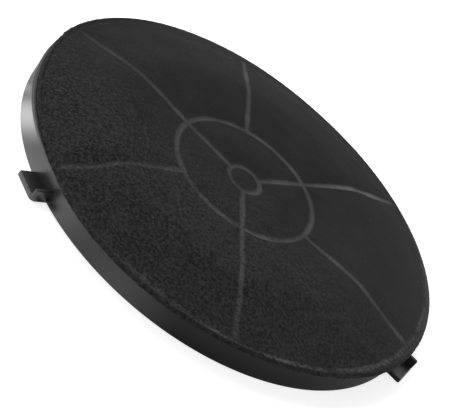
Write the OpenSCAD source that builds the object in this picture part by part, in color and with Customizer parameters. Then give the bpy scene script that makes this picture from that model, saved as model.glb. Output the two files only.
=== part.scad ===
// Round carbon filter for a cooker hood, felt face up.
// The back edge of the rim lies on z = 0 and the disc's axis is the Z axis.
// One moulded frame holds ten cells of carbon, closed by felt in front and fleece behind.

/* [Frame] */
// Outside diameter of the rim at its back edge
body_d = 229; // [210:1:260]
// Height of the rim wall under the felt
rim_h = 13; // [10:0.5:30]
// Thickness of the rim wall at its back edge
rim_t = 2.4; // [1.6:0.1:4]
// How far the rim wall leans outwards over its height
rim_lean = 0.7; // [0:0.1:2]
// Rounding of the rim's back edge
edge_r = 0.8; // [0.3:0.1:1.5]
// Thickness of the cell walls
cell_t = 1.6; // [1:0.1:3]
// Diameter of the ring wall, at the middle of its thickness
ring_d = 80; // [50:1:94]
// Diameter of the hub wall, at the middle of its thickness
hub_d = 18; // [12:0.5:30]

/* [Raised middle] */
// Height of the raised middle above the rim
crown_h = 5; // [1:0.5:12]
// Diameter of the level part of the raised middle
crown_d = 154; // [110:1:190]
// Width of the level strip between the slope's foot and the rim wall
foot_w = 1; // [0.5:0.1:4]

/* [Face felt] */
// Thickness of the face felt
felt_t = 2; // [1.4:0.1:4]
// How far the felt laps over the outside of the rim
felt_lap = 1.4; // [0.2:0.1:3]
// Width of a weld line pressed into the felt
weld_w = 2.4; // [1.6:0.1:3.2]
// Depth of a weld line
weld_depth = 1; // [0.3:0.1:1.2]

/* [Back grille] */
// Thickness of the grille
floor_t = 1.8; // [1:0.1:3]
// Width of a grille bar
bar_w = 1.6; // [1:0.1:3]
// Distance from one round bar to the next
bar_pitch = 9; // [6:0.5:14]
// Radial bars in each outer cell, between its two walls
outer_bars = 5; // [2:1:8]
// Radial bars in each inner cell, between its two walls
inner_bars = 5; // [1:1:7]

/* [Bayonet lugs] */
// Width of a lug along the rim
lug_w = 17; // [10:0.5:26]
// How far a lug reaches out from the back edge of the rim
lug_reach = 8.4; // [4:0.2:14]
// Thickness of a lug's plate
lug_t = 2.8; // [1.6:0.1:4]
// Sloped root between a lug's plate and the rim wall
lug_root = 0.8; // [0.3:0.1:1.5]
// How far a lug sits to one side of its short cell wall
lug_shift = 2.6; // [-5:0.1:5]
// Rounding of the lug's corner at its stop
lug_r = 3; // [1.2:0.1:3.8]
// Rounding of the lug's leading corner
lead_r = 1; // [0.3:0.1:2]
// Thickness of the stop at the lug's end
stop_t = 1.8; // [1:0.1:3]
// Height of the stop
stop_h = 7.2; // [5:0.1:9.5]

/* [Filling] */
// Thickness of the back fleece
fleece_t = 1.2; // [0.6:0.1:3]
// Clearance round each fleece panel and each charge of carbon
fill_gap = 0.2; // [0.1:0.05:0.5]

/* [Hidden] */
$fn = 96;

// Three lugs, three long walls and three short walls share the circle.
thirds = 3;
third = 360 / thirds;
sixth = third / 2;

// Radii of the rim, from the back edge up
base_r = body_d / 2;
rim_in_r = base_r - rim_t;
rim_top_r = base_r + rim_lean;
face_r = rim_top_r + felt_lap;
ring_r = ring_d / 2;
hub_r = hub_d / 2;
crown_r = crown_d / 2;
foot_r = rim_in_r - foot_w;
lug_out_r = base_r + lug_reach;
rim_mid_r = base_r - rim_t / 2;

// Outer radius of the rim wall at a height above its rounded edge
function rim_r(z) = base_r + rim_lean * (z - edge_r) / (rim_h - edge_r);

// Heights, counted from the back edge
crown_z = rim_h + crown_h;
fleece_z = floor_t;
carbon_z = floor_t + fleece_t;

// Middle of the rim's top, where the felt is welded to it
rim_weld_r = (rim_in_r + rim_top_r) / 2;

// A cutter reaches this far past the faces that it cuts
past = 1;
// Steps of a rounded edge's arc
arc_steps = 8;

moulding_colour = [0.10, 0.10, 0.10];
felt_colour = [0.17, 0.17, 0.17];
fleece_colour = [0.14, 0.14, 0.14];
carbon_colour = [0.06, 0.06, 0.06];

// Points of an arc about a centre, from one angle to another
function arc(centre, r, from, to) =
    [for (i = [0 : arc_steps])
        let (a = from + (to - from) * i / arc_steps)
        centre + r * [cos(a), sin(a)]];

// Top line of the cell walls from the axis outwards, raised by a height
function crown_line(up) =
    [[0, crown_z + up], [crown_r, crown_z + up], [foot_r, rim_h + up]];

// The same line read inwards, from one radius
function crown_line_back(r1, up) =
    [[foot_r, rim_h + up], [crown_r, crown_z + up], [r1, crown_z + up]];

// A ring of square section, between two radii and two heights
module square_ring(r1, r2, z1, z2) {
    rotate_extrude()
        translate([r1, z1])
            square([r2 - r1, z2 - z1]);
}

// Rim wall, leaning outwards, with its back edge rounded
module rim() {
    rotate_extrude()
        polygon(concat(
            [[rim_in_r, 0]],
            arc([base_r - edge_r, edge_r], edge_r, -90, 0),
            [[rim_top_r, rim_h], [rim_in_r, rim_h]]
        ));
}

// A flat ring of one width, centred on a radius
module ring_plan(r, width) {
    difference() {
        circle(r = r + width / 2);
        circle(r = r - width / 2);
    }
}

// A straight strip of one width, from one radius to another
module strip_plan(r1, r2, width) {
    translate([r1, -width / 2])
        square([r2 - r1, width]);
}

// Plan of the cell walls: hub, ring, three long walls and three short ones
module wall_plan(width, r_end) {
    ring_plan(hub_r, width);
    ring_plan(ring_r, width);
    for (i = [0 : thirds - 1]) {
        rotate(i * third)
            strip_plan(ring_r, r_end, width);
        rotate(i * third + sixth)
            strip_plan(hub_r, r_end, width);
    }
}

// All cell walls, level in the middle and sloping down to the rim
module cell_walls() {
    intersection() {
        linear_extrude(crown_z + past)
            wall_plan(cell_t, rim_mid_r);
        rotate_extrude()
            polygon(concat(
                [[0, -past], [face_r, -past], [face_r, rim_h]],
                crown_line_back(0, 0)
            ));
    }
}

// Round bars of one field of the grille, evenly spaced between two walls
module round_bars(r1, r2) {
    count = max(1, round((r2 - r1) / bar_pitch) - 1);
    step = (r2 - r1) / (count + 1);
    for (i = [1 : count])
        square_ring(r1 + i * step - bar_w / 2, r1 + i * step + bar_w / 2, 0, floor_t);
}

// Radial bars of one cell, between the walls at its two sides
module radial_bars(r1, r2, start, span, count) {
    for (i = [1 : count])
        rotate(start + span * i / (count + 1))
            translate([r1, -bar_w / 2, 0])
                cube([r2 - r1, bar_w, floor_t]);
}

// Grille that closes the back, with the hub's closed floor in its middle
module grille() {
    cylinder(r = hub_r, h = floor_t);
    round_bars(ring_r, rim_in_r);
    round_bars(hub_r, ring_r);
    for (i = [0 : 2 * thirds - 1])
        radial_bars(ring_r, rim_mid_r, i * sixth, sixth, outer_bars);
    for (i = [0 : thirds - 1])
        radial_bars(hub_r, ring_r, i * third + sixth, third, inner_bars);
}

// Plan of a lug, with its stop corner and its leading corner rounded
module lug_plan() {
    root = base_r - 2 * rim_t;
    depth = lug_out_r - root;
    translate([root, -lug_w / 2 + lead_r])
        square([depth, lug_w - lead_r - lug_r]);
    translate([root, -lug_w / 2])
        square([depth - lead_r, lug_w]);
    translate([root, lug_w / 2 - lug_r])
        square([depth - lug_r, lug_r]);
    translate([lug_out_r - lead_r, -lug_w / 2 + lead_r])
        circle(r = lead_r);
    translate([lug_out_r - lug_r, lug_w / 2 - lug_r])
        circle(r = lug_r);
}

// Plan of the stop at a lug's end
module stop_plan() {
    intersection() {
        lug_plan();
        translate([0, lug_w / 2 - stop_t])
            square([lug_out_r, stop_t]);
    }
}

// Sloped root of a lug, as wide as its plate
module lug_slope() {
    foot = rim_r(lug_t) + lug_root;
    intersection() {
        translate([0, lug_shift, 0])
            linear_extrude(rim_h)
                lug_plan();
        rotate_extrude()
            polygon([
                [rim_mid_r, lug_t / 2], [foot, lug_t / 2],
                [foot, lug_t], [rim_mid_r, lug_t + foot - rim_mid_r]
            ]);
    }
}

// One lug: a flat plate, with an upright stop across its end
module lug() {
    lug_slope();
    difference() {
        translate([0, lug_shift, 0]) {
            linear_extrude(lug_t)
                lug_plan();
            linear_extrude(stop_h)
                stop_plan();
        }
        translate([0, 0, -past])
            cylinder(r = rim_mid_r, h = rim_h + 2 * past);
    }
}

// The whole moulding
module frame() {
    color(moulding_colour) {
        rim();
        cell_walls();
        grille();
        for (i = [0 : thirds - 1])
            rotate(i * third)
                lug();
    }
}

// Cutter for the weld lines, which follow the cell walls and the rim's top
module welds() {
    intersection() {
        linear_extrude(crown_z + felt_t + past) {
            wall_plan(weld_w, rim_weld_r);
            ring_plan(rim_weld_r, weld_w);
        }
        rotate_extrude()
            polygon(concat(
                crown_line(felt_t - weld_depth),
                [[face_r, rim_h + felt_t - weld_depth]],
                [[face_r, crown_z + felt_t + past], [0, crown_z + felt_t + past]]
            ));
    }
}

// Face felt: one sheet that follows the cell walls, pressed in along the weld lines
module front_felt() {
    color(felt_colour)
        difference() {
            rotate_extrude()
                polygon(concat(
                    crown_line(0),
                    arc([face_r - felt_t / 2, rim_h + felt_t / 2], felt_t / 2, -90, 90),
                    crown_line_back(0, felt_t)
                ));
            welds();
        }
}

// Room taken by a cell wall and the clearance on both its sides
module wall_room(angle) {
    rotate(angle)
        translate([0, -cell_t / 2 - fill_gap, -past])
            cube([face_r, cell_t + 2 * fill_gap, crown_z + 2 * past]);
}

// A turned outline, kept to one cell between two straight walls
module in_cell(start, span) {
    difference() {
        rotate(start)
            rotate_extrude(angle = span)
                children();
        wall_room(start);
        wall_room(start + span);
    }
}

// Inner and outer radius of the room in the outer cells and in the inner cells
outer_r1 = ring_r + cell_t / 2 + fill_gap;
outer_r2 = rim_in_r - fill_gap;
inner_r1 = hub_r + cell_t / 2 + fill_gap;
inner_r2 = ring_r - cell_t / 2 - fill_gap;

// Fleece panel of one outer cell, lying on the grille
module back_fleece_outer(i) {
    color(fleece_colour)
        in_cell(i * sixth, sixth)
            translate([outer_r1, fleece_z])
                square([outer_r2 - outer_r1, fleece_t]);
}

// Fleece panel of one inner cell
module back_fleece_inner(i) {
    color(fleece_colour)
        in_cell(i * third + sixth, third)
            translate([inner_r1, fleece_z])
                square([inner_r2 - inner_r1, fleece_t]);
}

// Carbon of one outer cell, lying on its fleece and level with the walls
module carbon_outer(i) {
    color(carbon_colour)
        in_cell(i * sixth, sixth)
            polygon(concat(
                [[outer_r1, carbon_z], [outer_r2, carbon_z], [outer_r2, rim_h - fill_gap]],
                crown_line_back(outer_r1, -fill_gap)
            ));
}

// Carbon of one inner cell
module carbon_inner(i) {
    color(carbon_colour)
        in_cell(i * third + sixth, third)
            translate([inner_r1, carbon_z])
                square([inner_r2 - inner_r1, crown_z - fill_gap - carbon_z]);
}

// Carbon in the hub, lying on its closed floor
module carbon_hub() {
    color(carbon_colour)
        translate([0, 0, floor_t])
            cylinder(r = hub_r - cell_t / 2 - fill_gap, h = crown_z - fill_gap - floor_t);
}

frame();
front_felt();
back_fleece_outer(0);  // back_fleece_outer_1
back_fleece_outer(1);  // back_fleece_outer_2
back_fleece_outer(2);  // back_fleece_outer_3
back_fleece_outer(3);  // back_fleece_outer_4
back_fleece_outer(4);  // back_fleece_outer_5
back_fleece_outer(5);  // back_fleece_outer_6
back_fleece_inner(0);  // back_fleece_inner_1
back_fleece_inner(1);  // back_fleece_inner_2
back_fleece_inner(2);  // back_fleece_inner_3
carbon_outer(0);  // carbon_outer_1
carbon_outer(1);  // carbon_outer_2
carbon_outer(2);  // carbon_outer_3
carbon_outer(3);  // carbon_outer_4
carbon_outer(4);  // carbon_outer_5
carbon_outer(5);  // carbon_outer_6
carbon_inner(0);  // carbon_inner_1
carbon_inner(1);  // carbon_inner_2
carbon_inner(2);  // carbon_inner_3
carbon_hub();
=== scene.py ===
"""A round carbon filter for a cooker hood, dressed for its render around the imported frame."""

import logging
import math
from collections.abc import Iterable, Sequence
from dataclasses import dataclass, field
from enum import Enum

import bmesh
import bpy
import numpy as np
from mathutils import Matrix, Vector, noise


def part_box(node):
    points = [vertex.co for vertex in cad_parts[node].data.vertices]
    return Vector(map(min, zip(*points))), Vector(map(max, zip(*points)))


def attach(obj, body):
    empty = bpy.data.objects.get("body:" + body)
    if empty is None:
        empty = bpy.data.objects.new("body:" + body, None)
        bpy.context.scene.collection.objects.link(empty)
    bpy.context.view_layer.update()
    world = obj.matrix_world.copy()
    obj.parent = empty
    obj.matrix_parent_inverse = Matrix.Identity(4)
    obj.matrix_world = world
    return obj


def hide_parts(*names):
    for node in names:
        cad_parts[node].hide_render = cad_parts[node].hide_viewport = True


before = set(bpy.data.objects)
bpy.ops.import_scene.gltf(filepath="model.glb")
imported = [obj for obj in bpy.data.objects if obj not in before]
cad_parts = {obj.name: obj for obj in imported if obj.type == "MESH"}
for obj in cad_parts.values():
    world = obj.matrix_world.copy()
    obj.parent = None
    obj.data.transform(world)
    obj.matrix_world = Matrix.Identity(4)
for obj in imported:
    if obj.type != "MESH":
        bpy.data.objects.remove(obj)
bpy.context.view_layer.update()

BODY = "root"
MM = 0.001
THIRDS = 3
SIXTHS = 6
THIRD = math.tau / THIRDS
SIXTH = math.tau / SIXTHS

log = logging.getLogger("filter")


# Nodes and sockets


class Wire:
    """An output socket that Python arithmetic turns into Math nodes."""

    def __init__(self, tree: "Tree", socket: bpy.types.NodeSocket) -> None:
        """Keeps the socket and the tree that it belongs to.

        Args:
            tree: The tree that new Math nodes are added to.
            socket: The output socket.
        """
        self.tree = tree
        self.socket = socket

    def math(self, operation: str, *values: "Wire | float") -> "Wire":
        """Adds one Math node.

        Args:
            operation: The node's operation.
            values: The values or wires of its sockets, in order.

        Returns:
            The node's result.
        """
        sockets = dict(enumerate(values))
        return self.tree.out("ShaderNodeMath", {"operation": operation}, sockets)

    def __add__(self, other: "Wire | float") -> "Wire":
        """Adds another value."""
        return self.math("ADD", self, other)

    def __sub__(self, other: "Wire | float") -> "Wire":
        """Takes another value away."""
        return self.math("SUBTRACT", self, other)

    def __rsub__(self, other: float) -> "Wire":
        """Takes this value away from a number."""
        return self.math("SUBTRACT", other, self)

    def __mul__(self, other: "Wire | float") -> "Wire":
        """Multiplies by another value."""
        return self.math("MULTIPLY", self, other)

    def __truediv__(self, other: "Wire | float") -> "Wire":
        """Divides by another value."""
        return self.math("DIVIDE", self, other)

    def __pow__(self, other: "Wire | float") -> "Wire":
        """Raises to a power."""
        return self.math("POWER", self, other)

    def __mod__(self, other: "Wire | float") -> "Wire":
        """Gives the remainder of a division."""
        return self.math("MODULO", self, other)

    def __abs__(self) -> "Wire":
        """Gives the absolute value."""
        return self.math("ABSOLUTE", self)

    __radd__ = __add__
    __rmul__ = __mul__

    def floor(self) -> "Wire":
        """Rounds down."""
        return self.math("FLOOR", self)

    def root(self) -> "Wire":
        """Gives the square root."""
        return self.math("SQRT", self)

    def least(self, other: "Wire | float") -> "Wire":
        """Gives the smaller of two values."""
        return self.math("MINIMUM", self, other)

    def most(self, other: "Wire | float") -> "Wire":
        """Gives the larger of two values."""
        return self.math("MAXIMUM", self, other)

    def ramp(self, start: float, end: float, low: float = 0.0, high: float = 1.0) -> "Wire":
        """Turns smoothly from one value to another between two limits.

        Args:
            start: Where the turn starts.
            end: Where it ends, which may be below the start.
            low: The value at the start.
            high: The value at the end.

        Returns:
            The turned value.
        """
        settings = {"interpolation_type": "SMOOTHSTEP"}
        if end < start:
            start, end, low, high = end, start, high, low
        sockets = {"Value": self, "From Min": start, "From Max": end, "To Min": low, "To Max": high}
        return self.tree.out("ShaderNodeMapRange", settings, sockets)


class Tree:
    """Adds and links the nodes of one shader or geometry tree."""

    def __init__(self, tree: bpy.types.NodeTree) -> None:
        """Takes over a node tree and empties it.

        Args:
            tree: The node tree.
        """
        self.tree = tree
        self.tree.nodes.clear()

    def feed(self, socket: bpy.types.NodeSocket, value: object) -> None:
        """Sets an input socket or links wires to it.

        Args:
            socket: The input socket.
            value: A plain value, a wire, or a list of wires for a socket that takes several.
        """
        for wire in value if isinstance(value, list) else [value]:
            if isinstance(wire, Wire):
                self.tree.links.new(wire.socket, socket)
            else:
                socket.default_value = wire

    def node(self, kind: str, settings: dict | None = None, sockets: dict | None = None) -> bpy.types.Node:
        """Adds one node.

        Args:
            kind: The node's type.
            settings: Its properties by name, and under stops the positions and colours of a ramp.
            sockets: The values or wires of its inputs, by name or index.

        Returns:
            The node.
        """
        made = self.tree.nodes.new(kind)
        for name, value in (settings or {}).items():
            if name == "stops":
                self._stops(made.color_ramp, value)
            else:
                setattr(made, name, value)
        for key, value in (sockets or {}).items():
            self.feed(made.inputs[key], value)
        return made

    def out(
        self,
        kind: str,
        settings: dict | None = None,
        sockets: dict | None = None,
        output: int | str = 0,
    ) -> Wire:
        """Adds one node and gives one of its outputs.

        Args:
            kind: The node's type.
            settings: Its properties, as in node().
            sockets: Its inputs, as in node().
            output: The name or index of the output.

        Returns:
            The output as a wire.
        """
        return Wire(self, self.node(kind, settings, sockets).outputs[output])

    @staticmethod
    def _stops(ramp: bpy.types.ColorRamp, stops: Sequence[tuple[float, tuple]]) -> None:
        """Gives a colour ramp its stops.

        Args:
            ramp: The ramp.
            stops: Pairs of a position and a colour, in order.
        """
        while len(ramp.elements) < len(stops):
            ramp.elements.new(1.0)
        for element, (position, colour) in zip(ramp.elements, stops):
            element.position = position
            element.color = colour


class Surface(Tree):
    """A material with one Principled shader."""

    def __init__(self, name: str, **constants: object) -> None:
        """Makes the material.

        Args:
            name: The material's name.
            constants: Values of the shader's sockets that are the same all over, by name with _ for a space.
        """
        self.material = bpy.data.materials.new(name)
        self.material.use_nodes = True
        super().__init__(self.material.node_tree)
        sockets = {key.replace("_", " "): value for key, value in constants.items()}
        self.shader = self.node("ShaderNodeBsdfPrincipled", sockets=sockets)
        shaded = Wire(self, self.shader.outputs[0])
        self.node("ShaderNodeOutputMaterial", sockets={"Surface": shaded})
        self.place = self.out("ShaderNodeTexCoord", output="Object")

    def axes(self, place: Wire | None = None) -> list[Wire]:
        """Splits a place into its three coordinates, in metres.

        Args:
            place: The place, or none for the piece's own.

        Returns:
            The X, Y and Z coordinates.
        """
        split = self.node("ShaderNodeSeparateXYZ", sockets={0: place or self.place})
        return [Wire(self, output) for output in split.outputs]

    def stretched(self, turn: float, stretch: tuple[float, float, float]) -> Wire:
        """Gives the place turned about Z and stretched.

        Args:
            turn: The angle, in radians.
            stretch: The scale along each axis.

        Returns:
            The place as a vector.
        """
        settings = {"vector_type": "TEXTURE"}
        turned = self.out("ShaderNodeMapping", settings, {"Vector": self.place, "Rotation": (0, 0, turn)})
        return self.out("ShaderNodeVectorMath", {"operation": "MULTIPLY"}, {0: turned, 1: stretch})

    def grain(self, size: float, detail: float = 2.0, rough: float = 0.5, place: Wire | None = None) -> Wire:
        """Gives a noise pattern.

        Args:
            size: The size of its lumps, in metres.
            detail: How many finer layers it has.
            rough: The strength of the finer layers.
            place: Where it is read, or none for the piece's own place.

        Returns:
            The pattern, about 0.5 on average.
        """
        sockets = {"Vector": place or self.place, "Scale": 1 / size, "Detail": detail, "Roughness": rough}
        return self.out("ShaderNodeTexNoise", None, sockets)

    def cells(self, size: float, place: Wire | None = None) -> Wire:
        """Gives the distance to the nearest of many scattered points.

        Args:
            size: The distance between points, in metres.
            place: Where it is read, or none for the piece's own place.

        Returns:
            The distance, in shares of that size.
        """
        return self.out("ShaderNodeTexVoronoi", None, {"Vector": place or self.place, "Scale": 1 / size})

    def mixed(self, share: Wire | float, first: object, second: object) -> Wire:
        """Mixes two colours.

        Args:
            share: The second colour's share.
            first: The first colour.
            second: The second colour.

        Returns:
            The mixed colour.
        """
        return self.out("ShaderNodeMix", {"data_type": "RGBA"}, {0: share, 6: first, 7: second}, 2)

    def bumped(self, height: Wire, depth: float, strength: float) -> None:
        """Feeds a height pattern to the shader's normal.

        Args:
            height: The pattern.
            depth: The height that 1 stands for, in metres.
            strength: The strength of the bump.
        """
        sockets = {"Height": height, "Distance": depth, "Strength": strength}
        self.feed(self.shader.inputs["Normal"], self.out("ShaderNodeBump", None, sockets))


def grey(level: float) -> tuple[float, float, float, float]:
    """Gives a neutral colour of one linear level."""
    return (level, level, level, 1.0)


def least(first: object, second: object) -> object:
    """Gives the smaller of two numbers, arrays or wires."""
    return first.least(second) if isinstance(first, Wire) else np.minimum(first, second)


def most(first: object, second: object) -> object:
    """Gives the larger of two numbers, arrays or wires."""
    return first.most(second) if isinstance(first, Wire) else np.maximum(first, second)


def length_of(across: object, along: object) -> object:
    """Gives the length of a flat vector of numbers, arrays or wires."""
    square = across * across + along * along
    return square.root() if isinstance(square, Wire) else np.sqrt(square)


# Sizes and the layout of the cells


@dataclass(frozen=True)
class Sizes:
    """Driving sizes of the filter, in metres. What the frame gives is read from it."""

    felt_r: float
    lug_out_r: float
    rim_h: float
    crown_z: float
    face_z: float
    base_r: float = 114.5 * MM
    rim_t: float = 2.4 * MM
    rim_lean: float = 0.7 * MM
    cell_t: float = 1.6 * MM
    ring_r: float = 40 * MM
    hub_r: float = 9 * MM
    crown_r: float = 77 * MM
    foot_w: float = 1 * MM
    floor_t: float = 1.8 * MM
    bar_w: float = 1.6 * MM
    outer_rings: int = 7
    inner_rings: int = 2
    outer_bars: int = 5
    inner_bars: int = 5

    @classmethod
    def of_frame(cls) -> "Sizes":
        """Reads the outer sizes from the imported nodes.

        Returns:
            The sizes.
        """
        felt_low, felt_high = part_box("front_felt")
        frame_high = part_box("frame")[1]
        return cls(
            felt_r=(felt_high.x - felt_low.x) / 2,
            lug_out_r=frame_high.x,
            rim_h=felt_low.z,
            crown_z=frame_high.z,
            face_z=felt_high.z,
        )

    @property
    def felt_t(self) -> float:
        """Thickness of the face felt."""
        return self.face_z - self.crown_z

    @property
    def rim_in_r(self) -> float:
        """Inner radius of the rim."""
        return self.base_r - self.rim_t

    @property
    def rim_mid_r(self) -> float:
        """Radius of the middle of the rim wall at its back edge."""
        return self.base_r - self.rim_t / 2

    @property
    def rim_top_r(self) -> float:
        """Outer radius of the rim at its top."""
        return self.base_r + self.rim_lean

    @property
    def foot_r(self) -> float:
        """Radius where the slope of the raised middle ends."""
        return self.rim_in_r - self.foot_w

    @property
    def rim_weld_r(self) -> float:
        """Radius of the weld line on the rim."""
        return (self.rim_in_r + self.rim_top_r) / 2


@dataclass(frozen=True)
class Bow:
    """How far a straight line bows sideways, where it does so most, and how far from there it ends."""

    shift: float = 0.0
    middle: float = 0.0
    reach: float = 1.0


@dataclass(frozen=True)
class CellPlan:
    """The plan that the cell walls, the weld lines and the fields of the grille share."""

    sizes: Sizes
    bows: tuple[Bow, ...] = (Bow(),) * SIXTHS

    def line_distance(self, x: object, y: object) -> object:
        """Gives the distance to the nearest cell wall's middle line.

        Args:
            x: The X coordinate, as a number, an array or a wire.
            y: The Y coordinate, likewise.

        Returns:
            The distance in metres, in the same form.
        """
        radius = length_of(x, y)
        distance = least(abs(radius - self.sizes.ring_r), abs(radius - self.sizes.hub_r))
        for sixth, bow in enumerate(self.bows):
            start = self.sizes.hub_r if sixth % 2 else self.sizes.ring_r
            distance = least(distance, self._strip_distance(x, y, sixth * SIXTH, start, bow))
        return distance

    def rim_distance(self, x: object, y: object) -> object:
        """Gives the distance to the weld line on the rim, in metres."""
        return abs(length_of(x, y) - self.sizes.rim_weld_r)

    @staticmethod
    def _strip_distance(x: object, y: object, angle: float, start: float, bow: Bow) -> object:
        """Gives the distance to one straight wall that runs outwards from a radius.

        Args:
            x: The X coordinate.
            y: The Y coordinate.
            angle: The wall's angle, in radians.
            start: The radius where it starts.
            bow: How it bows.

        Returns:
            The distance in metres.
        """
        along = x * math.cos(angle) + y * math.sin(angle)
        across = y * math.cos(angle) - x * math.sin(angle)
        part = (along - bow.middle) / bow.reach
        across = across - most(1.0 - part * part, 0.0) * bow.shift
        return length_of(across, most(start - along, 0.0))


WELD_BOWS = (
    Bow(1.7 * MM, 92 * MM, 45 * MM),
    Bow(0.9 * MM, 62 * MM, 46 * MM),
    Bow(),
    Bow(-1.3 * MM, 88 * MM, 45 * MM),
    Bow(2.0 * MM, 103 * MM, 25 * MM),
    Bow(-1.3 * MM, 45 * MM, 60 * MM),
)


# Finishes


class Nap(Enum):
    """How loose a cloth's fibres lie."""

    FELT = "felt"
    FLEECE = "fleece"


@dataclass(frozen=True)
class PlasticFinish:
    """Black moulded plastic with a fine satin skin."""

    name: str = "black_moulded_plastic"
    dark: float = 0.0095
    light: float = 0.0145
    roughness: float = 0.32
    index: float = 1.42

    def material(self) -> bpy.types.Material:
        """Makes the material.

        Returns:
            The material.
        """
        surface = Surface(self.name, IOR=self.index)
        flow = surface.grain(26 * MM, 3.0, 0.55, surface.stretched(0.0, (1.0, 1.0, 2.6)))
        skin = surface.grain(0.35 * MM, 2.0, 0.6)
        rubbed = surface.grain(7 * MM, 5.0, 0.7).ramp(0.56, 0.74)
        colour = surface.mixed(flow, grey(self.dark), grey(self.light))
        surface.feed(surface.shader.inputs["Base Color"], colour)
        rough = flow * 0.10 + skin * 0.06 + rubbed * 0.07 + (self.roughness - 0.09)
        surface.feed(surface.shader.inputs["Roughness"], rough)
        surface.bumped(skin * 0.35 + flow * 1.0, 0.12 * MM, 0.5)
        return surface.material


@dataclass(frozen=True)
class ClothFinish:
    """Needled black cloth: granular where its nap is raised, and lighter and smoother along its weld lines. The
    weld lines' lightness is partly the fused felt's own tone and partly painted reflection, with painted highlights
    and painted shade along them; the colour also carries painted light on one side and a painted rim light near the
    far edge.
    """

    name: str
    nap: Nap
    plan: CellPlan
    dark: float
    light: float
    # Tone of the weld lines: partly the fused felt's own lighter tone, partly painted reflection.
    weld: float
    sheen: float = 0.03
    fibre_turn: float = math.radians(122)
    nap_turn: float = math.radians(275)
    # Directions towards which the rim weld line and the other weld lines get a stronger painted highlight.
    rim_highlight_turn: float = math.radians(-25)
    line_highlight_turn: float = math.radians(55)
    # Spots as X, Y and strength, round which the weld lines get a painted highlight.
    line_marks: tuple[tuple[float, float, float], ...] = ((42 * MM, 74 * MM, 0.4), (30 * MM, -52 * MM, 0.16))

    def material(self) -> bpy.types.Material:
        """Makes the material.

        Returns:
            The material.
        """
        surface = Surface(
            self.name, Sheen_Weight=self.sheen, Sheen_Roughness=0.6, IOR=1.35, Specular_IOR_Level=0.2
        )
        along = surface.stretched(self.fibre_turn, (0.3, 1.0, 1.0))
        clump = surface.grain(1.6 * MM, 4.0, 0.75)
        streak = surface.grain(0.7 * MM, 2.0, 0.6, along)
        patch = surface.grain(18 * MM, 3.0, 0.5)
        raised = self._side(surface, self.nap_turn, -30 * MM, 60 * MM)
        height = clump * (0.35 + raised * 0.65) + streak * (0.15 - raised * 0.03)
        # Share that grows towards 190 degrees; the colour is darker there and its grain contrast higher.
        darker_grainier_side = self._side(surface, math.radians(190), 0.0, 90 * MM)
        middle = self._middle(raised)
        spread = raised * 0.1 + 0.09
        tone = ((height - middle) / spread * 0.5 + 0.5).most(0.0).least(1.0) ** 2.0
        depth = raised**1.6 * 1.52 + darker_grainier_side * 0.14 + 0.15
        # Painted light: the colour grows lighter towards -15 degrees.
        lit = self._side(surface, math.radians(-15), 0.0, 100 * MM)
        # Painted rim light: the colour grows lighter near the edge on the side towards 75 degrees.
        far = self._side(surface, math.radians(75), 0.0, 110 * MM)
        painted_rim_light = length_of(*surface.axes()[:2]).ramp(85 * MM, 110 * MM) * far * 0.3
        low = patch * 0.38 + (raised * 0.19).most(lit * 0.32) + painted_rim_light + 0.175 - darker_grainier_side * 0.07
        shade = (tone - 0.31) * depth + low
        welded_and_highlit = self._welded_and_highlit(surface, raised)
        x, y, _ = surface.axes()
        # Beyond the rim weld the colour turns towards the weld tone: slightly all round for the cut edge's own
        # tone, and strongly towards 75 degrees as a painted rim light.
        cut = (length_of(x, y) - self.plan.sizes.rim_weld_r).ramp(0.0, 2 * MM) * (far * 0.45 + 0.04)
        cloth = surface.mixed(shade.most(0.0).least(1.0), grey(self.dark), grey(self.light))
        colour = surface.mixed(welded_and_highlit.most(cut), cloth, grey(self.weld))
        surface.feed(surface.shader.inputs["Base Color"], colour)
        surface.feed(surface.shader.inputs["Roughness"], 0.96 - welded_and_highlit * 0.3)
        surface.bumped(height * (1.0 - welded_and_highlit * 0.7) * (0.15 + raised * 0.85), self._depth(), 0.75)
        return surface.material

    @staticmethod
    def _middle(raised: Wire) -> Wire:
        """Gives the middle level of the cloth's height pattern.

        Args:
            raised: How raised the nap is, from 0 to 1.

        Returns:
            The level.
        """
        return raised * 0.31 + 0.25

    @staticmethod
    def _side(surface: Surface, turn: float, start: float, end: float) -> Wire:
        """Gives a share that grows from one side of the cloth to the other.

        Args:
            surface: The material that is being made.
            turn: The direction in which it grows, in radians.
            start: Where it leaves 0, along that direction.
            end: Where it reaches 1.

        Returns:
            The share.
        """
        x, y, _ = surface.axes()
        return (x * math.cos(turn) + y * math.sin(turn)).ramp(start, end)

    def _depth(self) -> float:
        """Gives the depth of the bump, in metres."""
        return 0.4 * MM

    def _welded_and_highlit(self, surface: Surface, raised: Wire) -> Wire:
        """Gives how much the cloth is melted down, from 0 to 1, and on the felt also the painted highlights and
        painted shade along the weld lines.

        Args:
            surface: The material that is being made.
            raised: How raised the nap is, from 0 to 1.

        Returns:
            The share as a wire.
        """
        x, y, _ = surface.axes()
        wander = (surface.grain(14 * MM, 1.0) - 0.5) * (raised * 0.6 + 0.4) * MM
        uneven = surface.grain(17 * MM, 2.0, 0.5).ramp(0.35, 0.65)
        broken = surface.grain(1.6 * MM, 2.0, 0.7).ramp(0.35, 0.6)
        width = uneven * (0.35 * MM) + 0.3 * MM
        lines = (self.plan.line_distance(x + wander, y + wander) - width).ramp(1.7 * MM, 0.0)
        if self.nap is Nap.FLEECE:
            return lines * 0.4
        # Painted highlight on the weld lines round a few spots.
        spot_highlights = sum(length_of(x - px, y - py).ramp(42 * MM, 12 * MM) * share for px, py, share in self.line_marks)
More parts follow.
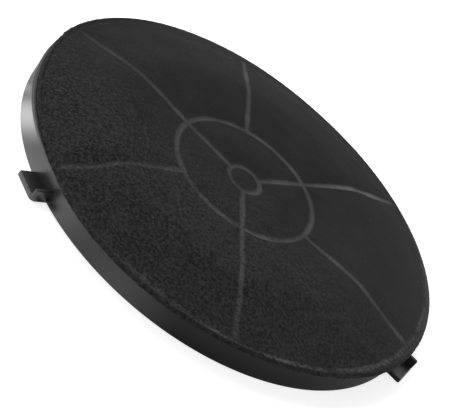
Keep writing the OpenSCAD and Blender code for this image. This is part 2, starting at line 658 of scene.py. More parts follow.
        # Painted shade on the weld lines towards 185 degrees, and a painted highlight growing towards 55 degrees.
        shaded = self._side(surface, math.radians(185), 50 * MM, 100 * MM)
        bright = self._side(surface, self.line_highlight_turn, -110 * MM, 110 * MM) * 0.3 + spot_highlights + 0.28
        whole = 1.0 - shaded * 0.35 - (1.0 - broken) * (raised * 0.35 + 0.1)
        inside = (length_of(x, y) - self.plan.sizes.rim_weld_r).ramp(0.0, -5 * MM)
        # Painted highlight on the rim weld line, growing towards -25 degrees.
        side = self._side(surface, self.rim_highlight_turn, 20 * MM, 110 * MM)
        rim = (self.plan.rim_distance(x, y) - width).ramp(1.1 * MM, 0.0)
        lines = lines * inside * bright * whole * (0.75 + uneven * 0.4)
        return lines.most(rim * side * (0.06 + uneven * broken * 0.6))


@dataclass(frozen=True)
class GranuleFinish:
    """Activated carbon in small dull grains."""

    name: str = "carbon_granules"
    grain: float = 2.2 * MM

    def material(self) -> bpy.types.Material:
        """Makes the material.

        Returns:
            The material.
        """
        surface = Surface(self.name)
        cells = surface.cells(self.grain)
        fine = surface.grain(0.3 * MM, 3.0)
        # Darker towards the gaps between the granules as painted shade, mixed with a fine random tone.
        colour = surface.mixed(cells * fine, grey(0.016), grey(0.004))
        surface.feed(surface.shader.inputs["Base Color"], colour)
        surface.feed(surface.shader.inputs["Roughness"], fine * 0.3 + 0.55)
        surface.bumped(1.0 - cells, 1.4 * MM, 1.0)
        return surface.material


@dataclass(frozen=True)
class FibreFinish:
    """A loose fibre, with a tone that differs from one to the next."""

    name: str
    dark: float
    light: float

    def material(self) -> bpy.types.Material:
        """Makes the material.

        Returns:
            The material.
        """
        surface = Surface(self.name, Roughness=0.7)
        tone = surface.grain(3 * MM, 1.0).ramp(0.35, 0.65)
        surface.feed(surface.shader.inputs["Base Color"], surface.mixed(tone, grey(self.dark), grey(self.light)))
        return surface.material


# Mesh makers


def object_of(mesh: bpy.types.Mesh, name: str) -> bpy.types.Object:
    """Puts a mesh in the scene.

    Args:
        mesh: The mesh.
        name: The object's name.

    Returns:
        The object, at the origin.
    """
    made = bpy.data.objects.new(name, mesh)
    bpy.context.scene.collection.objects.link(made)
    return made


def evaluated(obj: bpy.types.Object, name: str) -> bpy.types.Mesh:
    """Turns an object and its modifiers into a plain mesh, and removes the object.

    Args:
        obj: The object.
        name: The new mesh's name.

    Returns:
        The mesh.
    """
    graph = bpy.context.evaluated_depsgraph_get()
    mesh = bpy.data.meshes.new_from_object(obj.evaluated_get(graph), depsgraph=graph)
    mesh.name = name
    bpy.data.objects.remove(obj)
    return mesh


def outwards(mesh: bpy.types.Mesh) -> bpy.types.Mesh:
    """Turns the faces of closed shells outwards.

    Args:
        mesh: The mesh.

    Returns:
        The same mesh.
    """
    shape = bmesh.new()
    shape.from_mesh(mesh)
    bmesh.ops.recalc_face_normals(shape, faces=shape.faces)
    shape.to_mesh(mesh)
    shape.free()
    return mesh


def prism(
    name: str, outline: Sequence[tuple[float, float]], low: float, high: float, edge: float
) -> bpy.types.Mesh:
    """Makes a closed prism with rounded edges from a flat outline.

    Args:
        name: The mesh's name.
        outline: The outline's points, anticlockwise.
        low: The height of its underside.
        high: The height of its top.
        edge: The radius of the rounded edges.

    Returns:
        The mesh.
    """
    shape = bmesh.new()
    under = [shape.verts.new((x, y, low)) for x, y in outline]
    over = [shape.verts.new((x, y, high)) for x, y in outline]
    shape.faces.new(reversed(under))
    shape.faces.new(over)
    for i, corner in enumerate(under):
        following = (i + 1) % len(under)
        shape.faces.new((corner, under[following], over[following], over[i]))
    shape.normal_update()
    sharp = [e for e in shape.edges if e.calc_face_angle(0.0) > math.radians(30)]
    bmesh.ops.bevel(
        shape, geom=sharp, offset=edge, segments=3, profile=0.5, affect="EDGES", clamp_overlap=True
    )
    mesh = bpy.data.meshes.new(name)
    shape.to_mesh(mesh)
    shape.free()
    return mesh


def turned_section(
    name: str, section: Sequence[tuple[float, float]], start: float, end: float, steps: int
) -> bpy.types.Mesh:
    """Turns a closed section round the axis, through part of a turn, and closes its ends.

    Args:
        name: The mesh's name.
        section: The section's points, as radius and height.
        start: The first angle, in radians.
        end: The last angle.
        steps: How many steps the turn has.

    Returns:
        The mesh.
    """
    points, faces = [], []
    count = len(section)
    for step in range(steps + 1):
        angle = start + (end - start) * step / steps
        points += [(r * math.cos(angle), r * math.sin(angle), z) for r, z in section]
    for step in range(steps):
        for i in range(count):
            a, b = step * count + i, step * count + (i + 1) % count
            faces.append((a, b, b + count, a + count))
    faces.append(tuple(range(count)))
    faces.append(tuple(steps * count + i for i in reversed(range(count))))
    mesh = bpy.data.meshes.new(name)
    mesh.from_pydata(points, [], faces)
    return mesh


def arc(centre: tuple[float, float], radius: float, start: float, end: float, steps: int) -> list[tuple]:
    """Gives the points of an arc.

    Args:
        centre: The arc's centre.
        radius: Its radius.
        start: Its first angle, in degrees.
        end: Its last angle, in degrees.
        steps: How many steps it has.

    Returns:
        The points, both ends included.
    """
    angles = [math.radians(start + (end - start) * i / steps) for i in range(steps + 1)]
    return [(centre[0] + radius * math.cos(a), centre[1] + radius * math.sin(a)) for a in angles]


def united(name: str, parts: Sequence[bpy.types.Mesh]) -> bpy.types.Mesh:
    """Joins overlapping closed meshes into one skin.

    Args:
        name: The new mesh's name.
        parts: The meshes.

    Returns:
        The mesh.
    """
    tools = [object_of(outwards(part), f"{name}_part_{i}") for i, part in enumerate(parts)]
    whole = tools[0]
    for tool in tools[1:]:
        modifier = whole.modifiers.new("union", "BOOLEAN")
        modifier.operation = "UNION"
        modifier.solver = "MANIFOLD"
        modifier.object = tool
    mesh = evaluated(whole, name)
    for tool in tools[1:]:
        bpy.data.objects.remove(tool)
    return mesh


def dressed(
    mesh: bpy.types.Mesh, name: str, material: bpy.types.Material, smooth: float = 180.0
) -> bpy.types.Object:
    """Makes a finished piece of the filter and lets it ride on the body.

    Args:
        mesh: The mesh.
        name: The piece's name.
        material: Its material.
        smooth: The angle in degrees above which an edge stays sharp.

    Returns:
        The piece.
    """
    mesh.name = name
    mesh.materials.clear()
    mesh.materials.append(material)
    mesh.shade_smooth()
    if smooth < 180.0:
        mesh.set_sharp_from_angle(angle=math.radians(smooth))
    made = object_of(mesh, name)
    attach(made, BODY)
    log.info("%s: %d faces", name, len(mesh.polygons))
    return made


# Geometry Nodes patterns


class Pattern(Tree):
    """A Geometry Nodes tree with named inputs."""

    KINDS = {int: "NodeSocketInt", float: "NodeSocketFloat", tuple: "NodeSocketVector"}

    def __init__(self, name: str, inputs: dict[str, object]) -> None:
        """Makes the tree and its inputs.

        Args:
            name: The tree's name.
            inputs: The default value of each input, by its name.
        """
        super().__init__(bpy.data.node_groups.new(name, "GeometryNodeTree"))
        face = self.tree.interface
        face.new_socket("Geometry", in_out="INPUT", socket_type="NodeSocketGeometry")
        face.new_socket("Material", in_out="INPUT", socket_type="NodeSocketMaterial")
        for label, value in inputs.items():
            socket = face.new_socket(label, in_out="INPUT", socket_type=self.KINDS[type(value)])
            socket.default_value = value
        face.new_socket("Geometry", in_out="OUTPUT", socket_type="NodeSocketGeometry")
        entry = self.node("NodeGroupInput")
        self.inputs = {s.name: Wire(self, s) for s in entry.outputs if s.name}

    def finish(self, geometry: Wire) -> None:
        """Ends the tree in Realize Instances and Set Material.

        Args:
            geometry: The geometry that the tree makes.
        """
        real = self.out("GeometryNodeRealizeInstances", sockets={"Geometry": geometry})
        sockets = {"Geometry": real, "Material": self.inputs["Material"]}
        done = self.out("GeometryNodeSetMaterial", sockets=sockets)
        self.node("NodeGroupOutput", sockets={"Geometry": done})

    def run(self, name: str, values: dict[str, object], mesh: bpy.types.Mesh | None = None) -> bpy.types.Mesh:
        """Runs the tree once.

        Args:
            name: The new mesh's name.
            values: The inputs that differ from their defaults, by name.
            mesh: The mesh that goes in, or none.

        Returns:
            The plain mesh that comes out.
        """
        host = object_of(mesh or bpy.data.meshes.new(name), f"{name}_host")
        modifier = host.modifiers.new(name, "NODES")
        modifier.node_group = self.tree
        for item in self.tree.interface.items_tree:
            if item.in_out == "INPUT" and item.name in values:
                modifier[item.identifier] = values[item.name]
        return evaluated(host, name)


def spokes_pattern() -> Pattern:
    """Makes the tree that repeats a mesh around the axis, in equal sectors.

    Returns:
        The pattern.
    """
    inputs = {"Sectors": THIRDS, "In a sector": 1, "Sector angle": THIRD, "First angle": 0.0}
    made = Pattern("spokes_round_the_axis", inputs)
    each = made.inputs["In a sector"]
    sector = made.inputs["Sector angle"]
    index = made.out("GeometryNodeInputIndex")
    inside = (index % each + 1.0) * sector / (each + 1.0)
    angle = made.inputs["First angle"] + (index / each).floor() * sector + inside
    count = made.inputs["Sectors"] * each
    points = made.out("GeometryNodePoints", sockets={"Count": count})
    turn = made.out("ShaderNodeCombineXYZ", sockets={"Z": angle})
    rotation = made.out("FunctionNodeEulerToRotation", sockets={0: turn})
    sockets = {"Points": points, "Instance": made.inputs["Geometry"], "Rotation": rotation}
    made.finish(made.out("GeometryNodeInstanceOnPoints", sockets=sockets))
    return made


def rings_pattern() -> Pattern:
    """Makes the tree that sweeps a section with rounded edges round the axis, once for each ring.

    Returns:
        The pattern.
    """
    inputs = {
        "Rings": 1, "First radius": 1.0, "Pitch": 0.0, "Steps": 240,
        "Inner low": (0.0, 0.0, 0.0), "Outer low": (0.0, 0.0, 0.0),
        "Outer high": (0.0, 0.0, 0.0), "Inner high": (0.0, 0.0, 0.0),
        "Edge radius": 0.3 * MM, "Edge steps": 3,
    }
    made = Pattern("rings_round_the_axis", inputs)
    corners = {f"Point {i + 1}": made.inputs[label] for i, label in enumerate(list(inputs)[4:8])}
    section = made.out("GeometryNodeCurvePrimitiveQuadrilateral", {"mode": "POINTS"}, corners)
    rounding = {"Curve": section, "Count": made.inputs["Edge steps"], "Radius": made.inputs["Edge radius"]}
    section = made.out("GeometryNodeFilletCurve", {"mode": "POLY"}, rounding)
    radius = made.inputs["First radius"] + made.out("GeometryNodeInputIndex") * made.inputs["Pitch"]
    points = made.out("GeometryNodePoints", sockets={"Count": made.inputs["Rings"]})
    circle = made.out(
        "GeometryNodeCurvePrimitiveCircle", {"mode": "RADIUS"}, {"Resolution": made.inputs["Steps"], "Radius": 1.0}
    )
    scale = made.out("ShaderNodeCombineXYZ", sockets={"X": radius, "Y": radius, "Z": 1.0})
    placed = made.out(
        "GeometryNodeInstanceOnPoints", sockets={"Points": points, "Instance": circle, "Scale": scale}
    )
    paths = made.out("GeometryNodeRealizeInstances", sockets={"Geometry": placed})
    swept = made.out("GeometryNodeCurveToMesh", sockets={"Curve": paths, "Profile Curve": section})
    made.finish(swept)
    return made


def fibres_pattern() -> Pattern:
    """Makes the tree that scatters short bent fibres over a cloth.

    Returns:
        The pattern.
    """
    inputs = {"Density": 1.0, "Length": 2 * MM, "Radius": 0.03 * MM, "Bend": 0.4, "Rise": 0.25, "Seed": 1}
    made = Pattern("loose_fibres", inputs)
    sockets = {"Mesh": made.inputs["Geometry"], "Density": made.inputs["Density"], "Seed": made.inputs["Seed"]}
    spread = made.node("GeometryNodeDistributePointsOnFaces", {"distribute_method": "RANDOM"}, sockets)
    points, rotation = Wire(made, spread.outputs["Points"]), Wire(made, spread.outputs["Rotation"])
    length = made.inputs["Length"]
    middle = made.out("ShaderNodeCombineXYZ", sockets={"X": length * 0.5, "Y": length * made.inputs["Bend"]})
    tip = made.out("ShaderNodeCombineXYZ", sockets={"X": length, "Z": length * made.inputs["Rise"]})
    bends = {"Resolution": 4, "Start": (0.0, 0.0, 0.0), "Middle": middle, "End": tip}
    path = made.out("GeometryNodeCurveQuadraticBezier", sockets=bends)
    section = made.out(
        "GeometryNodeCurvePrimitiveCircle", {"mode": "RADIUS"}, {"Resolution": 3, "Radius": made.inputs["Radius"]}
    )
    fibre = made.out(
        "GeometryNodeCurveToMesh", sockets={"Curve": path, "Profile Curve": section, "Fill Caps": True}
    )
    spin = made.out(
        "FunctionNodeRandomValue", {"data_type": "FLOAT"}, {2: -math.pi, 3: math.pi, "Seed": made.inputs["Seed"]}, 1
    )
    turn = made.out("ShaderNodeCombineXYZ", sockets={"Z": spin})
    turned = made.out("FunctionNodeRotateRotation", {"rotation_space": "LOCAL"}, {0: rotation, 1: turn})
    size = made.out("FunctionNodeRandomValue", {"data_type": "FLOAT"}, {2: 0.4, 3: 1.0, "Seed": 7}, 1)
    sockets = {"Points": points, "Instance": fibre, "Rotation": turned, "Scale": size}
    made.finish(made.out("GeometryNodeInstanceOnPoints", sockets=sockets))
    return made


# The moulding


@dataclass
class Moulding:
    """The one-piece moulding: rim, cell walls, grille and three bayonet lugs."""

    sizes: Sizes
    finish: PlasticFinish = field(default_factory=PlasticFinish)
    edge: float = 0.3 * MM
    lug_edge: float = 0.55 * MM
    rim_edge: float = 0.7 * MM
    lug_w: float = 17 * MM
    lug_t: float = 2.8 * MM
    lug_shift: float = 2.6 * MM
    lug_r: float = 3 * MM
    lead_r: float = 1 * MM
    lug_root: float = 0.1 * MM
    root_rise: float = 1.0 * MM
    stop_t: float = 1.8 * MM
    stop_r: float = 1.5 * MM
    stop_h: float = 7.2 * MM
    sharp_angle: float = 38.0

    def build(self) -> bpy.types.Object:
        """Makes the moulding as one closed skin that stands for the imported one.

        Returns:
            The piece.
        """
        mesh = united("frame_moulding", [*self._rings(), *self._spokes()])
        made = dressed(mesh, "frame_moulding", self.finish.material(), self.sharp_angle)
        weighted = made.modifiers.new("weighted", "WEIGHTED_NORMAL")
        weighted.keep_sharp = True
        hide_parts("frame")
        return made

    def _rings(self) -> list[bpy.types.Mesh]:
        """Makes the rim, the ring walls, the round bars and the hub's floor."""
        s = self.sizes
        rings = rings_pattern()
        half_wall, half_bar = s.cell_t / 2, s.bar_w / 2
        rim = self._section(-s.rim_t / 2, s.rim_t / 2, s.rim_lean + s.rim_t / 2, s.rim_h)
        wall = self._section(-half_wall, half_wall, half_wall, s.crown_z)
        bar = self._section(-half_bar, half_bar, half_bar, s.floor_t)
        outer_step = (s.rim_in_r - s.ring_r) / (s.outer_rings + 1)
        inner_step = (s.ring_r - s.hub_r) / (s.inner_rings + 1)
        floor = arc((0.0, 0.0), s.hub_r, 0, 360 - 5, 71)
        return [
            rings.run("rim", {**rim, "First radius": s.rim_mid_r, "Steps": 360, "Edge radius": self.rim_edge}),
            rings.run("ring_wall", {**wall, "First radius": s.ring_r}),
            rings.run("hub_wall", {**wall, "First radius": s.hub_r, "Steps": 96}),
            prism("hub_floor", floor, 0.0, s.floor_t, self.edge / 2),
            rings.run(
                "outer_round_bars",
                {**bar, "First radius": s.ring_r + outer_step, "Pitch": outer_step, "Rings": s.outer_rings},
            ),
            rings.run(
                "inner_round_bars",
                {**bar, "First radius": s.hub_r + inner_step, "Pitch": inner_step, "Rings": s.inner_rings},
            ),
        ]

    def _section(self, inner: float, outer_low: float, outer_high: float, height: float) -> dict[str, tuple]:
        """Gives the corners of a ring's section, whose second axis points down.

        Args:
            inner: The inner face, counted outwards from the ring's radius.
            outer_low: The outer face at the bottom.
            outer_high: The outer face at the top.
            height: The section's height.

        Returns:
            The inputs of the rings pattern.
        """
        return {
            "Inner low": (inner, 0.0, 0.0),
            "Outer low": (outer_low, 0.0, 0.0),
            "Outer high": (outer_high, -height, 0.0),
            "Inner high": (inner, -height, 0.0),
            "Edge radius": self.edge,
        }

    def _spokes(self) -> list[bpy.types.Mesh]:
        """Makes the straight walls, the radial bars and the lugs."""
        s = self.sizes
        spokes = spokes_pattern()
        outer_bar = self._upright("outer_bar", s.ring_r, s.rim_mid_r, s.bar_w, s.floor_t)
        inner_bar = self._upright("inner_bar", s.hub_r, s.ring_r, s.bar_w, s.floor_t)
        middle = {"First angle": -THIRD / 2}
        return [
            spokes.run("short_walls", middle, self._wall("short_wall", s.ring_r)),
            spokes.run("long_walls", {"First angle": 0.0}, self._wall("long_wall", s.hub_r)),
            spokes.run(
                "outer_bars", {"Sectors": SIXTHS, "In a sector": s.outer_bars, "Sector angle": SIXTH}, outer_bar
            ),
            spokes.run("inner_bars", {"In a sector": s.inner_bars, "First angle": SIXTH}, inner_bar),
            spokes.run("lugs", middle, self._lug()),
        ]

    def _wall(self, name: str, start: float) -> bpy.types.Mesh:
        """Makes one straight cell wall, with the top line of the raised middle.

        Args:
            name: The mesh's name.
            start: The radius where it starts.

        Returns:
            The mesh.
        """
        s = self.sizes
        outline = [
            (start, 0.0), (s.rim_mid_r, 0.0), (s.rim_mid_r, s.rim_h),
            (s.foot_r, s.rim_h), (s.crown_r, s.crown_z), (start, s.crown_z),
        ]
        return self._standing(prism(name, outline, -s.cell_t / 2, s.cell_t / 2, self.edge))

    def _upright(self, name: str, start: float, end: float, width: float, height: float) -> bpy.types.Mesh:
        """Makes one straight bar along the radius.

        Args:
            name: The mesh's name.
            start: The radius where it starts.
            end: The radius where it ends.
            width: Its width.
            height: Its height.

        Returns:
            The mesh.
        """
        outline = [(start, 0.0), (end, 0.0), (end, height), (start, height)]
        return self._standing(prism(name, outline, -width / 2, width / 2, self.edge))

    @staticmethod
    def _standing(mesh: bpy.types.Mesh) -> bpy.types.Mesh:
        """Stands a flat mesh up, so that its second axis points upwards."""
        mesh.transform(Matrix.Rotation(math.pi / 2, 4, "X"))
        return mesh

    def _lug(self) -> bpy.types.Mesh:
        """Makes one lug: a plate with a sloped root and an upright stop across its end.

        Returns:
            The mesh.
        """
        s = self.sizes
        side = self.lug_shift - self.lug_w / 2
        end = self.lug_shift + self.lug_w / 2
        lead = arc((s.lug_out_r - self.lead_r, side + self.lead_r), self.lead_r, -90, 0, 6)
        corner, turned = (
            arc((s.lug_out_r - radius, end - radius), radius, 0, 90, 10) for radius in (self.lug_r, self.stop_r)
        )
        plate = [(s.rim_mid_r, side), *lead, *corner, (s.rim_mid_r, end)]
        inner = end - self.stop_t
        stop = [(s.rim_mid_r, inner), (s.lug_out_r, inner), *turned[1:], (s.rim_mid_r, end)]
        foot = s.base_r + self.lug_root
        root_top = self.lug_t + self.root_rise
        root = [
            (s.rim_mid_r, self.lug_t / 2), (foot, self.lug_t / 2), (foot, self.lug_t),
            (s.base_r, root_top), (s.rim_mid_r, root_top),
        ]
        angles = (math.asin(side / s.base_r), math.asin(inner / s.base_r))
        return united(
            "lug",
            [
                prism("lug_plate", plate, 0.0, self.lug_t, self.lug_edge),
                prism("lug_stop", stop, self.lug_t * 0.6, self.stop_h, self.lug_edge),
                turned_section("lug_root", root, *angles, 12),
            ],
        )


# The felt on the face


@dataclass
class FaceFelt:
    """The felt sheet on the face, puffed up between its weld lines."""

    sizes: Sizes
    plan: CellPlan
    pitch: float = 0.73 * MM
    under_every: int = 5
    edge_steps: int = 6
    edge_run: float = 1.5 * MM
    soften: float = 4 * MM
    puff: float = 0.5 * MM
    puff_reach: float = 12 * MM
    groove: float = 0.35 * MM
    groove_w: float = 1.1 * MM
    swell: float = 1.2 * MM
    swell_r: float = 71 * MM
    swell_w: float = 22 * MM
    dip: float = 0.8 * MM
    dip_w: float = 16 * MM
    rim_groove: float = 0.3 * MM
    lump: float = 0.16 * MM
    lump_size: float = 2.6 * MM
    ragged: float = 0.45 * MM
    edge_reach: float = 8 * MM
    wander: tuple[tuple[float, float], ...] = (
        (0, 1.4), (30, 1.2), (70, -0.9), (92, -1.7), (120, 0.2), (150, 0.8), (180, 0.0), (197, -2.8),
        (207, -3.6), (228, -3.6), (238, -3.0), (248, -0.6), (256, 0.6), (275, 0.9), (290, 0.0), (308, -0.9), (328, 0.0), (344, 1.3),
    )

    def build(self) -> bpy.types.Object:
        """Makes the felt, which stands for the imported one.

        Returns:
            The piece.
        """
        finish = ClothFinish("face_felt", Nap.FELT, self.plan, dark=0.002, light=0.034, weld=0.115)
        made = dressed(self._mesh(), "face_felt", finish.material())
        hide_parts("front_felt")
        return made

    def _mesh(self) -> bpy.types.Mesh:
        """Makes the felt as one closed mesh of rings.

        Returns:
            The mesh.
        """
        s = self.sizes
        flat_r = s.felt_r - self.edge_run
        count = round(flat_r / self.pitch)
        rings = [(flat_r * i / count, SIXTHS * max(i, 0), 1.0) for i in range(count + 1)]
        turns = [math.pi / 2 * (1 - i / self.edge_steps) for i in range(1, self.edge_steps + 1)]
        rings += [
            (flat_r + self.edge_run * math.cos(turn), SIXTHS * count, 2 * math.sin(turn) - 1) for turn in turns
        ]
        coarse = range(count - 1, -1, -1)
        rings += [(flat_r * i / count, SIXTHS * i, -1.0) for i in coarse if i % self.under_every == 0]
        points, starts, counts = self._points(rings)
        faces = list(ring_faces(starts, counts))
        mesh = bpy.data.meshes.new("face_felt")
        mesh.from_pydata(points, [], faces)
        mesh.validate()
        return outwards(mesh)

    def _points(self, rings: Sequence[tuple[float, int, float]]) -> tuple[list, list[int], list[int]]:
        """Places the points of all rings.

        Args:
            rings: Each ring's radius, number of points, and level from 1 at the top to -1 underneath.

        Returns:
            The points, and each ring's first index and number of points.
        """
        counts = [max(number, 1) for _, number, _ in rings]
        starts = [0, *np.cumsum(counts)[:-1].tolist()]
        radius = np.concatenate([np.full(n, r) for (r, _, _), n in zip(rings, counts)])
        level = np.concatenate([np.full(n, l) for (_, _, l), n in zip(rings, counts)])
        angle = np.concatenate([np.arange(n) * math.tau / n for n in counts])
        x, y = radius * np.cos(angle), radius * np.sin(angle)
        near_edge = smooth((radius - (self.sizes.felt_r - self.edge_reach)) / self.edge_reach)
        lumps = self._noise(x, y, self.lump_size)
        fringe = self._noise(x, y, 1.6 * MM)
        loose = 0.25 + 0.75 * smooth(0.5 - y / (100 * MM))
        radius = radius + near_edge * (self._wander(angle) + self.ragged * loose * fringe)
        under = self._profile(radius)
        lift = self._lift(x, y) + self.lump * loose * (lumps + 0.6 * fringe)
        z = under + self.sizes.felt_t * (level + 1) / 2 + lift * np.clip(level, 0, 1)
        places = np.stack([radius * np.cos(angle), radius * np.sin(angle), z], axis=1)
        return places.tolist(), starts, counts

    def _profile(self, radius: np.ndarray) -> np.ndarray:
        """Gives the height of the felt's underside, with its bends softened.

        Args:
            radius: The radii.

        Returns:
            The heights.
        """
        s = self.sizes
        bends = [0.0, s.crown_r, s.foot_r, s.felt_r * 2]
        heights = [s.crown_z, s.crown_z, s.rim_h, s.rim_h]
        shifts = np.linspace(-self.soften, self.soften, 9)
        return np.mean([np.interp(np.abs(radius + d), bends, heights) for d in shifts], axis=0)

    def _lift(self, x: np.ndarray, y: np.ndarray) -> np.ndarray:
        """Gives the swell of the filled cells less the depth of the weld lines.

        Args:
            x: The X coordinates.
            y: The Y coordinates.

        Returns:
            The heights.
        """
        line, rim = self.plan.line_distance(x, y), self.plan.rim_distance(x, y)
        radius = np.hypot(x, y)
        puffed = self.puff * smooth(np.minimum(line, rim) / self.puff_reach) * (radius < self.sizes.rim_weld_r)
        line_marks = self.groove * np.exp(-((line / self.groove_w) ** 2)) * (radius < self.sizes.rim_weld_r)
        rim_pressed = self.rim_groove * np.exp(-((rim / self.groove_w) ** 2))
        swollen = self.swell * np.exp(-(((radius - self.swell_r) / self.swell_w) ** 2))
        dipped = self.dip * np.exp(-((radius / self.dip_w) ** 2))
        return puffed + swollen - dipped - np.maximum(line_marks, rim_pressed)

    def _wander(self, angle: np.ndarray) -> np.ndarray:
        """Gives how far the felt's cut edge strays from a circle.

        Args:
            angle: The angles, in radians.

        Returns:
            The distances.
        """
        places = [math.radians(place) for place, _ in self.wander]
        shifts = [shift * MM for _, shift in self.wander]
        span = np.arange(-5, 6) * math.radians(1.0)
        return np.mean([np.interp(angle + d, places, shifts, period=math.tau) for d in span], axis=0)

    @staticmethod
    def _noise(x: np.ndarray, y: np.ndarray, size: float) -> np.ndarray:
        """Gives a smooth noise over the plane, from -1 to 1.

        Args:
            x: The X coordinates.
            y: The Y coordinates.
            size: The size of its lumps.

        Returns:
            The noise.
        """
        return np.array([noise.noise((px / size, py / size, 0.5)) for px, py in zip(x.tolist(), y.tolist())])


def smooth(share: np.ndarray) -> np.ndarray:
    """Turns a share from 0 to 1 with level ends, and holds it there outside."""
    held = np.clip(share, 0.0, 1.0)
    return held * held * (3 - 2 * held)


def ring_faces(starts: Sequence[int], counts: Sequence[int]) -> Iterable[tuple[int, ...]]:
    """Gives the triangles between closed rings that follow each other.

    Args:
        starts: The first index of each ring.
        counts: The number of points of each ring, which may be 1 for a centre.

    Yields:
        The corners of each triangle.
    """
    for (first, n), (second, m) in zip(zip(starts, counts), zip(starts[1:], counts[1:])):
        i = j = 0
        steps_n, steps_m = (n if n > 1 else 0), (m if m > 1 else 0)
        while i < steps_n or j < steps_m:
            if j < steps_m and (i >= steps_n or (j + 1) * n <= (i + 1) * m):
                yield first + i % n, second + j, second + (j + 1) % m
                j += 1
            else:
                yield first + i, second + j % m, first + (i + 1) % n
                i += 1


# The fleece on the grille


@dataclass
class BackFleece:
    """The nine fleece panels that lie on the grille and bulge into its openings."""

    sizes: Sizes
    plan: CellPlan
    low_z: float
    high_z: float
    gap: float = 0.2 * MM
    sag: float = 0.55 * MM
    steps: int = 6

    @classmethod
    def of_frame(cls, sizes: Sizes, plan: CellPlan) -> "BackFleece":
        """Reads the fleece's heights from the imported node.

        Args:
            sizes: The filter's sizes.
            plan: The plan of its cells.

        Returns:
            The maker.
        """
        low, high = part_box("back_fleece_outer_1")
        return cls(sizes, plan, low.z, high.z)

    def build(self) -> list[bpy.types.Object]:
        """Makes all panels.

        Returns:
            The pieces.
        """
        s = self.sizes
        material = ClothFinish("back_fleece", Nap.FLEECE, self.plan, 0.008, 0.026, 0.02, sheen=0.2).material()
        half = s.cell_t / 2 + self.gap
        outer = (s.ring_r + half, s.rim_in_r - self.gap)
        inner = (s.hub_r + half, s.ring_r - half)
        made = []
        for i in range(SIXTHS):
            cell = (i * SIXTH, SIXTH, *outer)
            made.append(self._panel(f"outer_{i + 1}", cell, (s.outer_bars + 1, s.outer_rings + 1), material))
        for i in range(THIRDS):
            cell = (i * THIRD + SIXTH, THIRD, *inner)
            made.append(self._panel(f"inner_{i + 1}", cell, (s.inner_bars + 1, s.inner_rings + 1), material))
        return made

    def _panel(
        self,
        name: str,
        cell: tuple[float, float, float, float],
        fields: tuple[int, int],
        material: bpy.types.Material,
    ) -> bpy.types.Object:
        """Makes one panel.

        Args:
            name: The panel's place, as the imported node's name ends.
            cell: The cell's first angle and span, and its inner and outer radius.
            fields: How many openings of the grille lie across the cell, and how many along the radius.
            material: The fleece's material.

        Returns:
            The piece.
        """
        start, span, r1, r2 = cell
        across, along = fields[0] * self.steps, fields[1] * self.steps
        u, v = np.meshgrid(np.linspace(0, 1, across + 1), np.linspace(0, 1, along + 1))
        radius = r1 + (r2 - r1) * v
        inset = np.arcsin((self.sizes.cell_t / 2 + self.gap) / radius)
        angle = start + inset + (span - 2 * inset) * u
        hang = np.abs(np.sin(math.pi * fields[0] * u) * np.sin(math.pi * fields[1] * v)) ** 0.7
        x, y = radius * np.cos(angle), radius * np.sin(angle)
        under = np.stack([x, y, self.low_z - self.sag * hang], axis=-1).reshape(-1, 3)
        over = np.stack([x, y, self.high_z - 0.6 * self.sag * hang], axis=-1).reshape(-1, 3)
        mesh = bpy.data.meshes.new(name)
        mesh.from_pydata(np.concatenate([under, over]).tolist(), [], list(slab_faces(across + 1, along + 1)))
        mesh.validate()
        piece = dressed(outwards(mesh), f"fleece_{name}", material, 60.0)
        width = 2 * r2 * math.sin(span / 2)
        length = r2 - r1 * math.cos(span / 2)
        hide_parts(f"back_fleece_{name}")
        span / 2 * (r2**2 - r1**2)
        return piece


def slab_faces(columns: int, rows: int) -> Iterable[tuple[int, ...]]:
    """Gives the faces of a closed slab made of two equal grids of points.

    Args:
        columns: The points in one row of a grid.
        rows: The number of rows.

    Yields:
        The corners of each face.
    """
    count = columns * rows
    for row in range(rows - 1):
        for column in range(columns - 1):
            a = row * columns + column
            b, c, d = a + 1, a + columns + 1, a + columns
            yield a, d, c, b
            yield a + count, b + count, c + count, d + count
    border = [
        *range(columns),
        *range(2 * columns - 1, count, columns),
        *range(count - 2, count - columns - 1, -1),
        *range(count - 2 * columns, 0, -columns),
    ]
    for a, b in zip(border, [*border[1:], border[0]]):
        yield a, b, b + count, a + count


# What lies loose on the felt


@dataclass
class LooseFibres:
    """Short fibres that stand out of the felt, and a few pale specks of lint."""

    felt: bpy.types.Object
    density: float = 60000.0
    lint_density: float = 900.0

    def build(self) -> list[bpy.types.Object]:
        """Scatters the fibres and the lint.

        Returns:
            The two pieces.
        """
        pattern = fibres_pattern()
        dark = FibreFinish("felt_fibre", 0.012, 0.05).material()
        pale = FibreFinish("pale_lint", 0.10, 0.30).material()
        fibres = {"Density": self.density, "Length": 1.5 * MM, "Radius": 0.03 * MM, "Seed": 3}
        lint = {"Density": self.lint_density, "Length": 0.5 * MM, "Radius": 0.16 * MM, "Seed": 11}
        return [
            self._scatter(pattern, "felt_fibres", fibres, dark),
            self._scatter(pattern, "felt_lint", lint, pale),
        ]

    def _scatter(
        self, pattern: Pattern, name: str, values: dict[str, object], material: bpy.types.Material
    ) -> bpy.types.Object:
        """Runs the pattern over the felt.

        Args:
            pattern: The fibres pattern.
            name: The piece's name.
            values: The pattern's inputs.
            material: The fibres' material.

        Returns:
            The piece.
        """
        mesh = pattern.run(name, {**values, "Material": material}, self.felt.data.copy())
        return dressed(mesh, name, material)


# The studio


